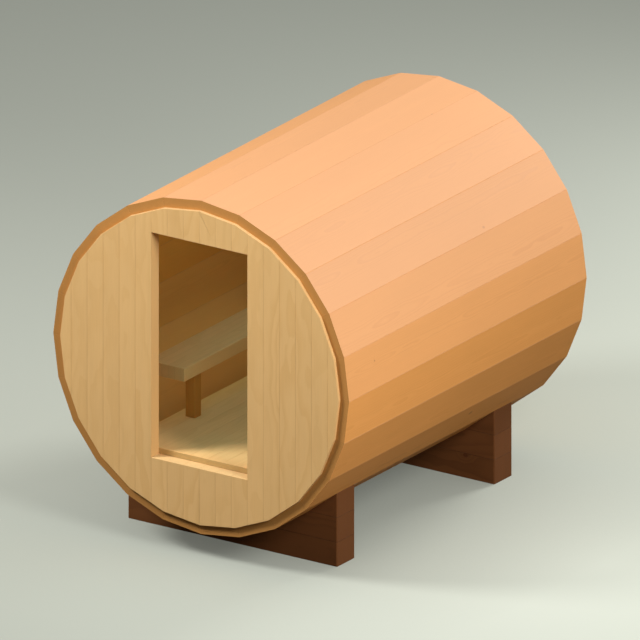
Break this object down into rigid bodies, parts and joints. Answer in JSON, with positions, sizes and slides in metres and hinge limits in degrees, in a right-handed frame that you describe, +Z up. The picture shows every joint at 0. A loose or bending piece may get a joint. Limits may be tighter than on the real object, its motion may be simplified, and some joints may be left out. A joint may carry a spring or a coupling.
{
  "type": "barrel sauna",
  "caption": "Lying barrel sauna of mitred staves on timber cradles, with flat end walls, an open doorway, a raised floor deck and slab benches along both sides.",
  "frame": {"origin": "on the ground under the middle of the barrel, midway between the two cradles", "axes": "+Z up, the doorway faces -Y, +X to the right as seen from the front"},
  "size_m": [2.3996, 2.928, 2.5798],
  "materials": {
    "stave_wood": "oiled softwood, planed",
    "wall_wood": "planed softwood boards",
    "deck_wood": "planed softwood boards",
    "bench_wood": "smooth sanded softwood",
    "cradle_wood": "dark stained timber"
  },
  "bodies": {
    "root": {"stave_01": "stave_wood", "stave_02": "stave_wood", "stave_03": "stave_wood", "stave_04": "stave_wood", "stave_05": "stave_wood", "stave_06": "stave_wood", "stave_07": "stave_wood", "stave_08": "stave_wood", "stave_09": "stave_wood", "stave_10": "stave_wood", "stave_11": "stave_wood", "stave_12": "stave_wood", "stave_13": "stave_wood", "stave_14": "stave_wood", "stave_15": "stave_wood", "stave_16": "stave_wood", "stave_17": "stave_wood", "stave_18": "stave_wood", "stave_19": "stave_wood", "stave_20": "stave_wood", "stave_21": "stave_wood", "stave_22": "stave_wood", "stave_23": "stave_wood", "stave_24": "stave_wood", "front_wall_left": "wall_wood", "front_wall_right": "wall_wood", "front_wall_over_door": "wall_wood", "front_wall_under_door": "wall_wood", "rear_wall": "wall_wood", "floor_deck": "deck_wood", "floor_bearer_1": "deck_wood", "floor_bearer_2": "deck_wood", "floor_bearer_3": "deck_wood", "left_bench_seat": "bench_wood", "left_bench_leg_front": "bench_wood", "left_bench_bearer_front": "bench_wood", "left_bench_leg_rear": "bench_wood", "left_bench_bearer_rear": "bench_wood", "right_bench_seat": "bench_wood", "right_bench_leg_front": "bench_wood", "right_bench_bearer_front": "bench_wood", "right_bench_leg_rear": "bench_wood", "right_bench_bearer_rear": "bench_wood", "cradle_front": "cradle_wood", "cradle_rear": "cradle_wood"}
  },
  "joints": []
}
